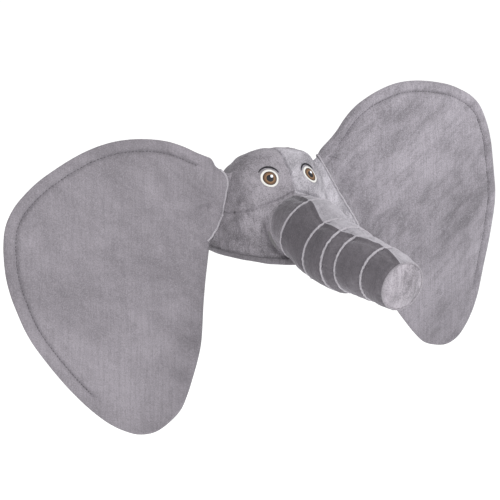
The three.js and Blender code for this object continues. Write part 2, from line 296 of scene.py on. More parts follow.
def velour(name, color, patches=0.5, sheen=0.3, lay=0.0, draw=0.45, grains=0.6, contrast=1.0, size=13,
           shaded=None):
    """Short pile cloth: patches where the pile lies another way, fine ribs, fibre specks and a soft sheen.

    patches and contrast say how strongly the lay of the pile shows, lay how far its streaks lean, in radians
    from upright, draw how drawn out they are (1 is round), size how many there are in a metre, and grains how
    strong the specks are. shaded gives the heights where the colour starts and ends to darken, and the share;
    on the far ear it is painted shade.
    """
    material, tree, principled, place = shader(name, color, 0.95)
    dark, light = scaled(color, 1 - 0.38 * contrast), scaled(color, 1 + 0.5 * contrast)
    turned = stretched(tree, place, (1, 1, 1), (0, lay, 0))
    leaning = stretched(tree, turned, (1, 1, draw))
    cloud = ranged(tree, noise_node(tree, leaning, size, 5, 0.6), 0.38, 0.62)
    brushed = ranged(tree, noise_node(tree, leaning, BRUSHED_PER_METRE, 5, 0.62), 0.3, 0.7)
    grain = noise_node(tree, place, GRAINS_PER_METRE, 2, 0.8)
    rib = noise_node(tree, stretched(tree, place, (1, 0.2, 0.05)), RIBS_PER_METRE, 1, 0.5)
    base = mixed(tree, cloud, mixed(tree, patches, color, dark), mixed(tree, patches, color, light))
    # each layer: what drives it, its values at no and full share, the full share, and the colour mixed in
    layers = [(brushed, 0.35, 1, 0.5 * patches, light), (brushed, 0.5, 0, 0.5 * patches, dark),
              (rib, 0.4, 0.68, 0.28, dark),
              (grain, 0.48, 0.72, grains, light), (grain, 0.52, 0.28, grains, dark)]
    # the colour darkened with height: painted shade on the far ear's plush
    if shaded is not None:
        start, end, share = shaded
        height = new_node(tree, "SeparateXYZ", "Z", {"Vector": place})
        layers.append((height, start, end, share, scaled(color, 0.3)))
    for driver, start, end, share, tone in layers:
        base = mixed(tree, ranged(tree, driver, start, end, 0, share), base, tone)
    set_sockets(tree, principled, {
        "Base Color": base, "Roughness": ranged(tree, brushed, 0, 1, 0.8, 1.0), "Sheen Weight": sheen,
        "Sheen Roughness": 0.4, "Sheen Tint": (0.95, 0.94, 1.0, 1), "Specular IOR Level": 0.2})
    bumped(tree, principled, [(cloud, 1.5 * MM), (brushed, 1.2 * MM), (rib, 0.6 * MM), (grain, 0.5 * MM)])
    return material


def woven(name, color, scale=900, contrast=0.75, roughness=0.8, sheen=0.1):
    """Plain woven cloth or tape."""
    material, tree, principled, place = shader(name, color, roughness)
    dark = scaled(color, contrast)
    wave = {"Scale": scale / 6.3, "Distortion": 0.6, "Vector": place}
    threads = [new_node(tree, "TexWave", "Fac", wave, bands_direction=axis) for axis in ("X", "Z")]
    weave = new_node(tree, "Math", 0, {0: threads[0], 1: threads[1]}, operation="MULTIPLY")
    soft = noise_node(tree, place, 40, 3)
    base = mixed(tree, ranged(tree, soft, 0.35, 0.7, 0, 0.5), color, dark)
    gaps = ranged(tree, weave, 0, 1, 0.45, 0)
    set_sockets(tree, principled, {"Base Color": mixed(tree, gaps, base, dark), "Sheen Weight": sheen})
    bumped(tree, principled, [(soft, 0.8 * MM), (weave, 0.3 * MM)])
    return material


def embroidered(name, color, tilt=0.0):
    """Satin stitch: fine parallel threads with a little gloss."""
    material, tree, principled, place = shader(name, color, 0.42)
    thread = noise_node(tree, stretched(tree, place, (1, 0.1, 0.12), (0, tilt, 0)), THREADS_PER_METRE, 1)
    base = mixed(tree, ranged(tree, thread, 0.35, 0.65, 0, 0.6), color, scaled(color, 0.7))
    gloss = ranged(tree, thread, 0, 1, 0.4, 0.65)
    set_sockets(tree, principled, {"Specular IOR Level": 0.25, "Base Color": base, "Roughness": gloss})
    bumped(tree, principled, [(thread, 0.3 * MM)])
    return material


def steel(name):
    material, tree, principled, place = shader(name, (0.6, 0.61, 0.63), 0.32)
    drawn = noise_node(tree, place, 700, 2)
    set_sockets(tree, principled, {"Metallic": 1.0, "Roughness": ranged(tree, drawn, 0, 1, 0.25, 0.45)})
    bumped(tree, principled, [(drawn, 0.1 * MM)])
    return material


LOOK = {
    # lighter copy of the cap's plush, for the left front panels and the left gusset: nap brushed the other
    # way, and painted light on the side the key lamp faces
    "cap": velour("plush_cap", (0.208, 0.194, 0.213), 0.9, sheen=0.12, lay=1.0, draw=0.4, contrast=1.3,
                  grains=0.8),
    "cap_light": velour("plush_cap_brushed_and_lit", (0.312, 0.298, 0.325), 1.0, sheen=0.12, lay=-0.5, contrast=1.3,
                        grains=0.8, size=17),
    "ear_right": velour("plush_ear_right", (0.211, 0.196, 0.216), 0.5, sheen=0.28, lay=0.9, draw=0.5, size=9),
    # painted shade: the far ear's plush is darkened towards its bottom
    "ear_left": velour("plush_ear_left", (0.228, 0.213, 0.236), 1.0, sheen=0.28, lay=-0.95, draw=0.35,
                       contrast=1.3, grains=0.7, size=6.5, shaded=(0.16, -0.16, 0.32)),
    "ear_back": velour("plush_ear_back", (0.205, 0.191, 0.209), 0.5, sheen=0.28, draw=0.6),
    # the trunk's plush in a dark and a light copy: the dark right panel is darker nap and painted shade, the
    # light left panel is nap brushed the other way and painted light on the key lamp's side
    "trunk": velour("plush_trunk", (0.118, 0.108, 0.121), 0.5, sheen=0.2),
    "trunk_light": velour("plush_trunk_brushed_and_lit", (0.310, 0.295, 0.322), 0.8),
    "trunk_base": velour("plush_trunk_base", (0.205, 0.190, 0.209), 0.9, contrast=1.3, size=24,
                         shaded=(0.040, 0.085, 0.6)),
    "tip": velour("plush_tip", (0.258, 0.240, 0.263), 0.9, sheen=0.25, draw=0.8, contrast=1.5, size=22),
    "tuck": velour("plush_tuck", (0.39, 0.37, 0.40), 0.2, sheen=0.45),
    "seam": velour("plush_seam", (0.265, 0.248, 0.270), 0.3, sheen=0.35),
    "hem": velour("plush_hem", (0.165, 0.154, 0.169), 0.4),
    "thread": embroidered("sewing_thread", (0.10, 0.095, 0.105)),
    "lining": woven("lining_cloth", (0.20, 0.19, 0.20), sheen=0.3, roughness=0.55),
    "tape": woven("cotton_tape", (0.78, 0.77, 0.74), scale=1400),
    "label": woven("label_satin", (0.86, 0.86, 0.85), scale=2400, contrast=0.9, roughness=0.45),
    "eye_white": embroidered("thread_eye_white", (0.74, 0.73, 0.70)),
    "iris_dark": embroidered("thread_iris_dark", (0.045, 0.026, 0.016), 0.8),
    "iris_brown": embroidered("thread_iris_brown", (0.14, 0.078, 0.040), 0.8),
    "iris_light": embroidered("thread_iris_light", (0.25, 0.145, 0.075), 0.8),
    "black": embroidered("thread_black", (0.012, 0.012, 0.016), 0.4),
    "glint": embroidered("thread_glint", (0.88, 0.92, 1.0), 0.4),
    "steel": steel("spring_steel"),
}

# ---------------------------------------------------------------- the cap's dome, measured from the frame


def middle_of(node):
    low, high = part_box(node)
    return np.array((low + high) / 2)


HALF_WIDTH, BACK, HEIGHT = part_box("back_panel_left")[1]
FRONT = -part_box("cheek_panel_left")[0].y
CHEEK_SEAM_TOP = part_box("cheek_panel_left")[1].z
CHEEK_SEAM_SLOPE = math.radians(19)
JOINTS = {joint["name"]: joint for joint in frame["joints"]}
TRUNK_BASE = np.array(JOINTS["trunk_swing"]["pos_m"])
BASE_HALF_WIDTH, BASE_HALF_HEIGHT = 47 * MM, 43 * MM     # of the seam where the trunk is sewn to the face
BASE_Z = TRUNK_BASE[2] - 1 * MM
HEM_SEAM_Z = 10.5 * MM
LEVEL = np.array([1, 1, 0])      # takes the height out of a direction
CLOTH_TURNS, CLOTH_RISES = 600, 170
LINING_INSET = 6.6 * MM

# pulled-in folds of the cap: x beside the middle, y and z at each end, then width and depth; millimetres
CAP_FOLDS = [
    ((54, -62, 64), (40, -74, 20), 4, 4.5),
    ((88, -22, 72), (78, -50, 10), 6, 4.5),
    ((70, -30, 112), (86, -24, 84), 5, 2.5),
]


def section(z, inset=0.0):
    """Half-width, front depth and back depth of the dome's oval at height z."""
    level = np.clip(1 - (z / (HEIGHT - inset)) ** 2, 0, 1)
    return (HALF_WIDTH - inset) * level**0.25, (FRONT - inset) * level**0.5, (BACK - inset) * level**0.5


def dome(turn, rise, inset=0.0):
    """A point on the dome: turn goes round from the face, rise from the rim to the crown, both angles."""
    z = (HEIGHT - inset) * np.sin(rise)
    half_width, front, back = section(z, inset)
    depth = np.where(np.cos(turn) > 0, front, back)
    return np.stack([half_width * np.sin(turn), -depth * np.cos(turn), z + 0 * turn], -1)


def dome_normal(turn, rise, inset=0.0):
    step = 1e-3
    rise = np.minimum(rise, math.pi / 2 - 2 * step)
    along = dome(turn + step, rise, inset) - dome(turn - step, rise, inset)
    up = dome(turn, rise + step, inset) - dome(turn, rise - step, inset)
    return unit(np.cross(along, up))


def face_depth(x, z):
    half_width, front, _ = section(z)
    return -front * np.sqrt(np.clip(1 - (x / half_width) ** 2, 0, 1))


def turn_rise(point):
    """turn and rise of the point of the dome's front that has the same x and z."""
    x, z = point[..., 0], point[..., 2]
    return np.arcsin(np.clip(x / section(z)[0], -1, 1)), np.arcsin(np.clip(z / HEIGHT, 0, 1))


def seam_distances(points):
    """Distance of each point of the dome from the nearest panel seam."""
    centre, side = np.abs(points[..., 0]), np.abs(points[..., 1])
    over_cheek = points[..., 2] - CHEEK_SEAM_TOP
    fall = over_cheek * math.cos(CHEEK_SEAM_SLOPE) + centre * math.sin(CHEEK_SEAM_SLOPE)
    cheek = np.where(points[..., 1] < 0, np.abs(fall), 1)
    return np.minimum(np.minimum(centre, side), cheek)


def base_ring(angle, grow=0.0):
    """The seam where the trunk is sewn to the face, a loop on the dome."""
    x = (BASE_HALF_WIDTH + grow) * np.cos(angle)
    z = BASE_Z + (BASE_HALF_HEIGHT + grow) * np.sin(angle)
    return np.stack([x, face_depth(x, z), z], -1)


def crease(points, start, end, width, depth):
    """A soft fold along the line from start to end."""
    line = end - start
    share = np.clip(((points - start) @ line) / (line @ line), 0, 1)
    away = np.linalg.norm(points - start - share[..., None] * line, axis=-1)
    return -depth * hump(away, 0, width) * np.sin(math.pi * np.clip(share, 0.02, 0.98)) ** 0.5


def cap_relief(points):
    """How far the stuffed cloth of the cap stands out from the plain dome, in metres."""
    z = points[..., 2]
    face_side = points[..., 1] < 0
    seam = seam_distances(points)
    relief = 1.6 * MM * (1 - np.exp(-seam / (14 * MM))) - 3.0 * MM * hump(seam, 0, 1.9 * MM)
    relief -= 2.2 * MM * hump(z, HEM_SEAM_Z, 2.4 * MM)
    relief += ripples(points, (1.7, 75, 3), (0.7, 27, 4))
    pucker = np.exp(-seam / (7 * MM)) * ripple(points, 9 * MM, 5)
    relief += 0.45 * MM * pucker
    # a groove close round the trunk's base, and a bank of stuffing outside it; 1 is the seam itself
    ring = np.hypot(points[..., 0] / BASE_HALF_WIDTH, (z - BASE_Z) / BASE_HALF_HEIGHT)
    groove = hump(ring, 1.13, 0.12) * face_side * np.clip(0.9 - (z - BASE_Z) / (60 * MM), 0, 1)
    bank = hump(ring, 1.55, 0.22) * face_side * np.clip(0.8 - np.abs(z - 50 * MM) / (45 * MM), 0, 1)
    relief += 3.0 * MM * bank - 4.6 * MM * groove
    for side in SIDES.values():
        beside = np.array([side, 1, 1]) * MM
        for start, end, width, depth in CAP_FOLDS:
            relief += crease(points, start * beside, end * beside, width * MM, depth * MM)
    return relief


def hitched(points):
    """Lift the cloth's rim at the sides, where it rides up over the wearer's ears."""
    most, fades_at = 12 * MM, 90 * MM
    reach = np.hypot(points[..., 0], points[..., 1]) + 1e-9
    lift = most * (points[..., 0] / reach) ** 2 * np.clip(1 - points[..., 2] / fades_at, 0, 1) ** 2
    return points + lift[..., None] * UP


def cap_skin(turn, rise, lift=0.0):
    points = dome(turn, rise)
    return hitched(points + dome_normal(turn, rise) * (cap_relief(points) + lift)[..., None])


def keep_side(work, point, normal):
    """Cut the mesh with a plane and drop what lies on the side the normal points to."""
    whole = work.verts[:] + work.edges[:] + work.faces[:]
    bmesh.ops.bisect_plane(work, geom=whole, dist=1e-7, plane_co=point, plane_no=normal, clear_outer=True)


def over_dome(turns, rises, surface, inset=0.0, flip=False):
    """Points and faces of a sheet over the whole dome; surface gives its points for turns and rises."""
    turn, rise = np.meshgrid(around(turns), np.linspace(0.0, math.pi / 2, rises)[:-1])
    points = np.vstack([surface(turn, rise).reshape(-1, 3), [[0, 0, HEIGHT - inset]]])
    faces = grid_faces(rises - 1, turns, True, flip=flip)
    return points, faces + fan_faces((rises - 2) * turns, turns, turn.size, flip)


def make_cap_panels():
    whole = new_piece("dome_cloth", *over_dome(CLOTH_TURNS, CLOTH_RISES, cap_skin), "cap")
    across, up = math.sin(CHEEK_SEAM_SLOPE), math.cos(CHEEK_SEAM_SLOPE)
    for name, side in SIDES.items():
        for panel in ("forehead", "cheek", "back"):
            work = bmesh.new()
            work.from_mesh(whole.data)
            keep_side(work, (0, 0, 0), (-side, 0, 0))
            keep_side(work, (0, 0, 0), (0, -1 if panel == "back" else 1, 0))
            if panel != "back":
                sign = -1 if panel == "forehead" else 1
                keep_side(work, (0, 0, CHEEK_SEAM_TOP), (sign * side * across, 0, sign * up))
            node = f"{panel}_panel_{name}"
            mesh = bpy.data.meshes.new(node + "_cloth")
            work.to_mesh(mesh)
            work.free()
            # the left front panels get the lighter copy: brushed nap and painted light on the key lamp's side
            brushed = panel != "back" and name == "left"
            piece = linked(node + "_cloth", mesh, "cap_light" if brushed else "cap")
            declare(piece, "cap", [node])
    bpy.data.objects.remove(whole)


def make_lining():
    """The quilted inside of the cap, with the padding it holds."""
    gores = 3                    # pairs of quilting lines, evenly round the cap

    def quilted(turn, rise):
        points = dome(turn, rise, LINING_INSET)
        from_quilting = np.abs(np.sin(gores * turn)) * points[..., 2].max() * np.cos(rise)
        relief = 1.2 * MM * np.exp(-from_quilting / (5 * MM)) - ripples(points, (0.8, 30, 8))
        relief -= ripples(points * np.array([1, 1, 0.3]), (0.4, 12, 9))
        return hitched(points + dome_normal(turn, rise, LINING_INSET) * relief[..., None])

    points, faces = over_dome(300, 90, quilted, LINING_INSET, flip=True)
    piece = new_piece("crown_lining_cloth", points, faces, "lining")
    declare(piece, "cap", ["crown_lining", "crown_padding"])


# the hem's section: out from the dome and up, in millimetres, for a hem of the height below
HEM_SECTION = [(-1.0, 8.4), (-0.4, 9.2), (1.5, 9.0), (2.3, 7.6), (2.6, 5.0), (2.5, 2.0), (1.6, 0.2),
               (0.0, -0.6), (-3.0, -0.9), (-6.0, -0.5), (-7.6, 0.6), (-8.2, 3.0), (-8.2, 8.0), (-8.0, 12.0),
               (-7.0, 13.0)]
HEM_SECTION_TALL = 8.0 * MM


def make_hem():
    """The turned-up band round the rim: outside, under and inside, as one rounded strip."""
    low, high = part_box("hem_band")
    scale = (high.z - low.z) / HEM_SECTION_TALL
    turn = around(420)
    rows = []
    for out, z in catmull(np.array(HEM_SECTION) * MM * scale, 4):
        rise = np.full(len(turn), math.asin(max(z, 0.0) / HEIGHT))
        points = dome(turn, rise)
        normal = unit(dome_normal(turn, rise) * LEVEL)
        gather = np.clip((points[:, 1] - 20 * MM) / (30 * MM), 0, 1)
        wave = 0.7 * MM * gather * around_noise(turn, 60, 110, 12)
        wave += 0.25 * MM * around_noise(turn, 20, 60, 13)
        points = points + normal * (out + wave * (1.0 if z > 2 * MM else 0.4))[:, None]
        points[:, 2] = z + 0.3 * MM * around_noise(turn, 6, 20, 14)
        rows.append(hitched(points))
    faces = grid_faces(len(rows), len(turn), True, flip=True)
    declare(new_piece("hem_band_cloth", np.concatenate(rows), faces, "hem"), "cap", ["hem_band"])


def make_elastic():
    """A gathered elastic tape along the back of the hem, inside."""
    low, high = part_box("elastic_band")
    inset, half_thick = 8.6 * MM, 0.5 * MM
    turn = np.linspace(math.radians(108), math.radians(252), 260)
    face, back = [], []
    for k, z in enumerate(np.linspace(low.z, high.z, 9)):
        rise = np.full(len(turn), math.asin(z / HEIGHT))
        middle = dome(turn, rise, inset)
        normal = unit(dome_normal(turn, rise, inset) * LEVEL)
        gather = 0.5 * MM * np.sin(turn * 95) + 0.2 * MM * np.sin(turn * 41 + k)
        face.append(middle - normal * (half_thick + gather)[:, None])
        back.append(middle + normal * (half_thick - gather)[:, None])
    loop = face + back[::-1] + [face[0]]
    faces = grid_faces(len(loop), len(turn), False)
    piece = outward_faces(new_piece("elastic_band_tape", hitched(np.concatenate(loop)), faces, "tape"))
    declare(piece, "cap", ["elastic_band"])


def make_label():
    """A folded satin loop, left blank."""
    low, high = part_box("care_label")
    wide, tall, apart = 11, 25, 0.45 * MM
    x, z = np.meshgrid(np.linspace(low.x, high.x, wide), np.linspace(high.z, low.z, tall))
    bow = 1.2 * MM * np.sin(math.pi * (z - low.z) / (high.z - low.z))
    curl = 0.6 * MM * np.sin(math.pi * (x - low.x) / (high.x - low.x))
    sheets = [np.stack([x, low.y - bow + curl + away, z], -1).reshape(-1, 3) for away in (0.0, apart)]
    count = wide * tall
    faces = grid_faces(tall, wide, False) + grid_faces(tall, wide, False, count, flip=True)
    edge = list(range(wide)) + [r * wide + wide - 1 for r in range(1, tall)]
    edge += [count - 1 - c for c in range(1, wide)] + [r * wide for r in range(tall - 2, 0, -1)]
    faces += [(a, b, b + count, a + count) for a, b in zip(edge, edge[1:] + edge[:1])]
    piece = outward_faces(new_piece("care_label_blank", np.concatenate(sheets), faces, "label"))
    declare(piece, "cap", ["care_label"])


# ---------------------------------------------------------------- eyes and brows

# discs of thread, the lowest first: where its middle is (across, up), radius, lift and crown, in millimetres
EYE_DISCS = [
    ("white", (0, 0), 13.8, 0.5, 0.5, "eye_white"),
    ("iris_rim", (0, 0), 10.6, 0.8, 0.4, "iris_dark"),
    ("iris", (0, 0), 9.5, 1.0, 0.3, "iris_brown"),
    ("iris_inner", (0, 0), 7.2, 1.2, 0.3, "iris_light"),
    ("pupil", (0, 0), 5.4, 1.4, 0.3, "black"),
    ("glint", (2.8, 3.2), 2.1, 1.7, 0.3, "glint"),
]
BROW_RADIUS = 17.5               # of the arc over the eye, in millimetres


def face_point(side, across, up, lift):
    """A point on the face near an eye: across is towards the elephant's own left, up is along the cloth."""
    centre = middle_of(f"eye_{'left' if side > 0 else 'right'}")
    centre[1] = face_depth(centre[0], centre[2])
    normal = dome_normal(*turn_rise(centre))
    right = unit(np.cross(UP, normal))
    above = np.cross(normal, right)
    return cap_skin(*turn_rise(centre + across[..., None] * right + up[..., None] * above), lift)


def face_disc(name, side, middle, radius, lift, crown, look):
    """A domed disc on the face, with a skirt that goes down into the cloth."""
    steps, segments = 9, 64
    angle = around(segments)

    def ring(share, height):
        across = middle[0] * MM + radius * MM * np.cos(angle) * share
        up = middle[1] * MM + radius * MM * np.sin(angle) * share
        return face_point(side, across, up, height * MM)

    points = [ring(share, lift + crown * (1 - share**2)) for share in np.linspace(1, 1 / steps, steps)]
    points.insert(0, 2 * points[0] - ring(1, lift + 1))
    last = (len(points) - 1) * segments
    faces = grid_faces(len(points), segments, True) + fan_faces(last, segments, last + segments)
    return new_piece(name, np.concatenate(points + [ring(0, lift + crown)[:1]]), faces, look)


def make_eyes():
    """Plain round toy eyes."""
    for name, side in SIDES.items():
        for part, *shape in EYE_DISCS:
            piece = face_disc(f"eye_{name}_{part}", side, *shape)
            declare(piece, "cap", [f"eye_{name}"] if part == "white" else [])


def make_brows():
    """An even arc of dark thread over each eye."""
    angle = np.radians(np.linspace(150, 30, 9))
    arc = np.stack([BROW_RADIUS * np.cos(angle), BROW_RADIUS * np.sin(angle)], -1) * MM
    path = by_length(catmull(arc, 12), 60)
    share = np.linspace(0, 1, len(path))
    radius = (0.35 + 0.95 * np.sin(math.pi * share) ** 0.6) * MM
    for name, side in SIDES.items():
        points = face_point(side, path[:, 0] * -side, path[:, 1], 0.6 * MM)
        piece = loop_tube(f"brow_{name}_stitch", points, radius, 10, "black", UP, closed=False)
        declare(piece, "cap", [f"brow_{name}"])


# ---------------------------------------------------------------- trunk

TUCK_PROUD = 3.1 * MM            # how far a CAD tuck stands out of the trunk's cloth
ANGLES = around(216)
RING_NODES = [*(f"ring_tuck_{k}" for k in (1, 2, "middle", 3, 4)), "trunk_tip_welt"]
RING_BENDS = [1, 2, None, 3, 4, None]                            # the trunk_bend joint at each ring
FLATTENED = np.array([3, 6.5, 5, 2, 0, 0]) * MM                  # how far a ring is pressed in at one place
FLAT_AT, FLAT_WIDTH = math.radians(62), math.radians(42)         # that place, round the ring
TOP_SEAM = np.radians([100, 108, 119, 117, 105, 95, 106])        # where the top seam crosses each ring
BOTTOM_SEAM = math.radians(270)
BULGES = np.array([2.0, 3.4, 3.0, 2.2, 3.0, 2.6]) * MM           # of the cloth between two rings
ROW_POINTS, ROW_PITCH, FEWEST_ROWS = 130, 1.3 * MM, 14


def trunk_stations():
    """Centre, forward direction, radius and flattening of each sewn ring after the base."""
    centres, radii = [], []
    for node, bend in zip(RING_NODES, RING_BENDS):
        low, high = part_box(node)
        centres.append(np.array(JOINTS[f"trunk_bend_{bend}"]["pos_m"]) if bend else middle_of(node))
        radii.append((high.x - low.x) / 2 - TUCK_PROUD)
    ends = [2 * centres[0] - centres[1], *centres, centres[-1]]
    forward = [unit(after - before) for before, after in zip(ends, ends[2:])]
    return list(zip(centres, forward, radii, FLATTENED))


STATIONS = trunk_stations()
RING_COUNT = len(STATIONS) + 1   # with the base
RING_CENTRES = [TRUNK_BASE] + [station[0] for station in STATIONS]


def ring_loop(station, angle, grow=0.0):
    centre, forward, radius, flattened = station
    right = np.array([1.0, 0, 0])
    above = unit(np.cross(forward, right))
    above = above if above[2] > 0 else -above
    turned = np.angle(np.exp(1j * (angle - FLAT_AT)))
    reach = radius + grow - flattened * hump(turned, 0, FLAT_WIDTH)
    return centre + reach[:, None] * (np.cos(angle)[:, None] * right + np.sin(angle)[:, None] * above)


def loop_at(k, angle):
    return ring_loop(STATIONS[k - 1], angle) if k else base_ring(angle)


def trunk_row(k, t, side):
    """Points of the trunk's cloth a share t of the way from ring k to the next, on one of its two panels."""
    seam = TOP_SEAM[k] + (TOP_SEAM[k + 1] - TOP_SEAM[k]) * ease(t)
    angle = np.linspace(seam, BOTTOM_SEAM if side < 0 else BOTTOM_SEAM - TURN, ROW_POINTS)
    rings = [loop_at(min(max(k + step, 0), RING_COUNT - 1), angle) for step in (-1, 0, 1, 2)]
    point = through(*rings, t)
    from_middle = point - (RING_CENTRES[k] * (1 - t) + RING_CENTRES[k + 1] * t)
    length = np.linalg.norm(rings[2] - rings[1], axis=1)
    from_ring = min(t, 1 - t) * length
    from_seam = np.abs(angle - seam) * np.linalg.norm(from_middle, axis=1)
    swell = BULGES[k] * (4 * t * (1 - t)) ** 0.5 * np.clip(length / (25 * MM), 0.15, 1)
    pucker = 0.6 * MM * np.exp(-from_ring / (6 * MM)) * around_noise(angle, 18, 46, 30 + k)
    lumps = ripples(point, (1.0, 48, 41), (0.4, 17, 42)) * np.clip(from_ring / (6 * MM), 0, 1)
    ridge = 1.5 * MM * hump(from_seam, 0, 2.2 * MM)
    dip = 1.2 * MM * np.exp(-3 * (from_seam / (6 * MM) - 1) ** 2)
    return point + unit(from_middle) * (swell + pucker + lumps + ridge - dip)[:, None]


def trunk_rows(side):
    """All rows of one panel from the face to the tip, and the row each sewn ring falls on."""
    rows, marks = [], [0]
    for k in range(RING_COUNT - 1):
        length = np.linalg.norm(RING_CENTRES[k + 1] - RING_CENTRES[k])
        steps = max(int(length / ROW_PITCH), FEWEST_ROWS)
        rows += [trunk_row(k, step / steps, side) for step in range(steps)]
        marks.append(len(rows))
    return rows + [trunk_row(RING_COUNT - 2, 1.0, side)], marks


def blend_at_ring(piece):
    """Bake the piece's placement into its mesh."""
    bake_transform(piece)


def make_trunk():
    """Two long panels of cloth in stretches, the left one lighter: nap brushed the other way, and painted
    light on the key lamp's side.
    """
    stands_for = [("trunk_base_pad", "trunk_skin_1", "trunk_filling_1"), (),
                  ("trunk_skin_2", "trunk_filling_2"), ("trunk_skin_3", "trunk_filling_3"),
                  ("trunk_skin_4", "trunk_filling_4", "trunk_skin_5", "trunk_filling_5")]
    for name, side in SIDES.items():
        all_rows, marks = trunk_rows(side)
        # cut at the face, at the first bend, between two bends, and at the tip
        cuts = [0, marks[1], *((marks[k] + marks[k + 1]) // 2 for k in (1, 2, 4)), marks[6]]
        for bend, nodes in enumerate(stands_for):
            rows = all_rows[cuts[bend]:cuts[bend + 1] + 1]
            # lighter left panel: brushed nap and painted light; darker right panel: darker nap and painted
            # shade
            look = "trunk_light" if name == "left" else "trunk" if bend else "trunk_base"
            faces = grid_faces(len(rows), ROW_POINTS, False, flip=side < 0)
            piece = new_piece(f"trunk_cloth_{name}_{bend + 1}", np.concatenate(rows), faces, look)
            declare(piece, stands_for=nodes if name == "right" else ())
            if bend:
                blend_at_ring(piece)
            else:
                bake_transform(piece)


def make_tucks():
    """The pinched folds sewn round the trunk, light along their crests."""
    bodies = {1: "trunk_1", None: "trunk_3"}
    for order, (node, bend) in enumerate(zip(RING_NODES[:-1], RING_BENDS)):
        centre = RING_CENTRES[order + 1]
        path = ring_loop(STATIONS[order], ANGLES, 1.0 * MM)
        path = path + unit(path - centre) * (0.25 * MM * around_noise(ANGLES, 10, 40, 60 + order))[:, None]
        radius = (1.75 + 0.15 * around_noise(ANGLES, 12, 50, 70 + order)) * MM
        piece = loop_tube(f"{node}_fold", path, radius, 10, "tuck", unit(path - centre))
        declare(piece, bodies.get(bend), [node])
        if bend not in bodies:
            blend_at_ring(piece)
    path = base_ring(ANGLES, 0.5 * MM)
    normal = unit(path - TRUNK_BASE * UP)
    welt = loop_tube("trunk_base_welt_fold", path + normal * 0.8 * MM, 1.7 * MM, 10, "seam", normal)
    declare(welt, "cap", ["trunk_base_welt"])


def make_tip():
    centre, forward, radius, _ = STATIONS[-1]
    crown = 6.5 * MM
    rows = []
    for share in np.linspace(1, 0.04, 26):
        loop = ring_loop((centre, forward, radius * share, 0.0), ANGLES)
        pucker = np.exp(-(1 - share) * radius / (4 * MM)) * around_noise(ANGLES, 14, 36, 82)
        relief = ripples(loop, (0.5, 20, 81)) * (1 - share) + 0.4 * MM * pucker
        rows.append(loop + forward * (crown * (1 - share**2.4) + relief)[:, None])
    count = len(ANGLES)
    last = (len(rows) - 1) * count
    faces = grid_faces(len(rows), count, True) + fan_faces(last, count, last + count)
    tip = new_piece("trunk_tip_cloth", np.vstack(rows + [centre + forward * crown]), faces, "tip")
    declare(tip, "trunk_5", ["trunk_tip_disc"])
    path = ring_loop(STATIONS[-1], ANGLES, 0.5 * MM)
    welt = loop_tube("trunk_tip_welt_fold", path, 1.4 * MM, 10, "seam", unit(path - centre))
    declare(welt, "trunk_5", ["trunk_tip_welt"])


# ---------------------------------------------------------------- ears

EDGE_STEPS = 460                 # points round an ear's outline
STITCH_INSET = 17.5 * MM
WIRE_INSET = 9 * MM
CHANNEL_END = 0.62               # share of the free edge that has a wire channel
EAR_THICK = 5.0 * MM
EDGE_THICK = 3.4 * MM
CORNER_REACH = 31 * MM           # how far from its upper corner an ear's edge is moved to meet the root seam
CENTRE_DEPTH = 60 * MM

# Where each ear is sewn to the cap: millimetres outward and down from the top of its root line
ROOT_ARCS = {
    "right": [(8, 11), (-1, 18), (-5.5, 28), (-6.5, 46), (-6.5, 68), (-5, 88), (0, 105), (6, 118)],
    "left": [(0, 0), (-1, 14), (-2, 34), (-3, 58), (-3, 84), (-2, 108), (-1, 138)],
}

# distances in from the edge, close together at the stitching
INSETS = np.array([0, 0.35, 0.9, 1.7, 2.8, 4.2, 5.8, 7.5, 9, 10.5, 12, 13.3, 14.4, 15.3, 16, 16.6, 17.1,
                   17.5, 17.9, 18.4, 19, 19.8, 20.9, 22.3, 24, 26, 28.5, 31.5, 35]) * MM
MIDDLE_STEPS = 46


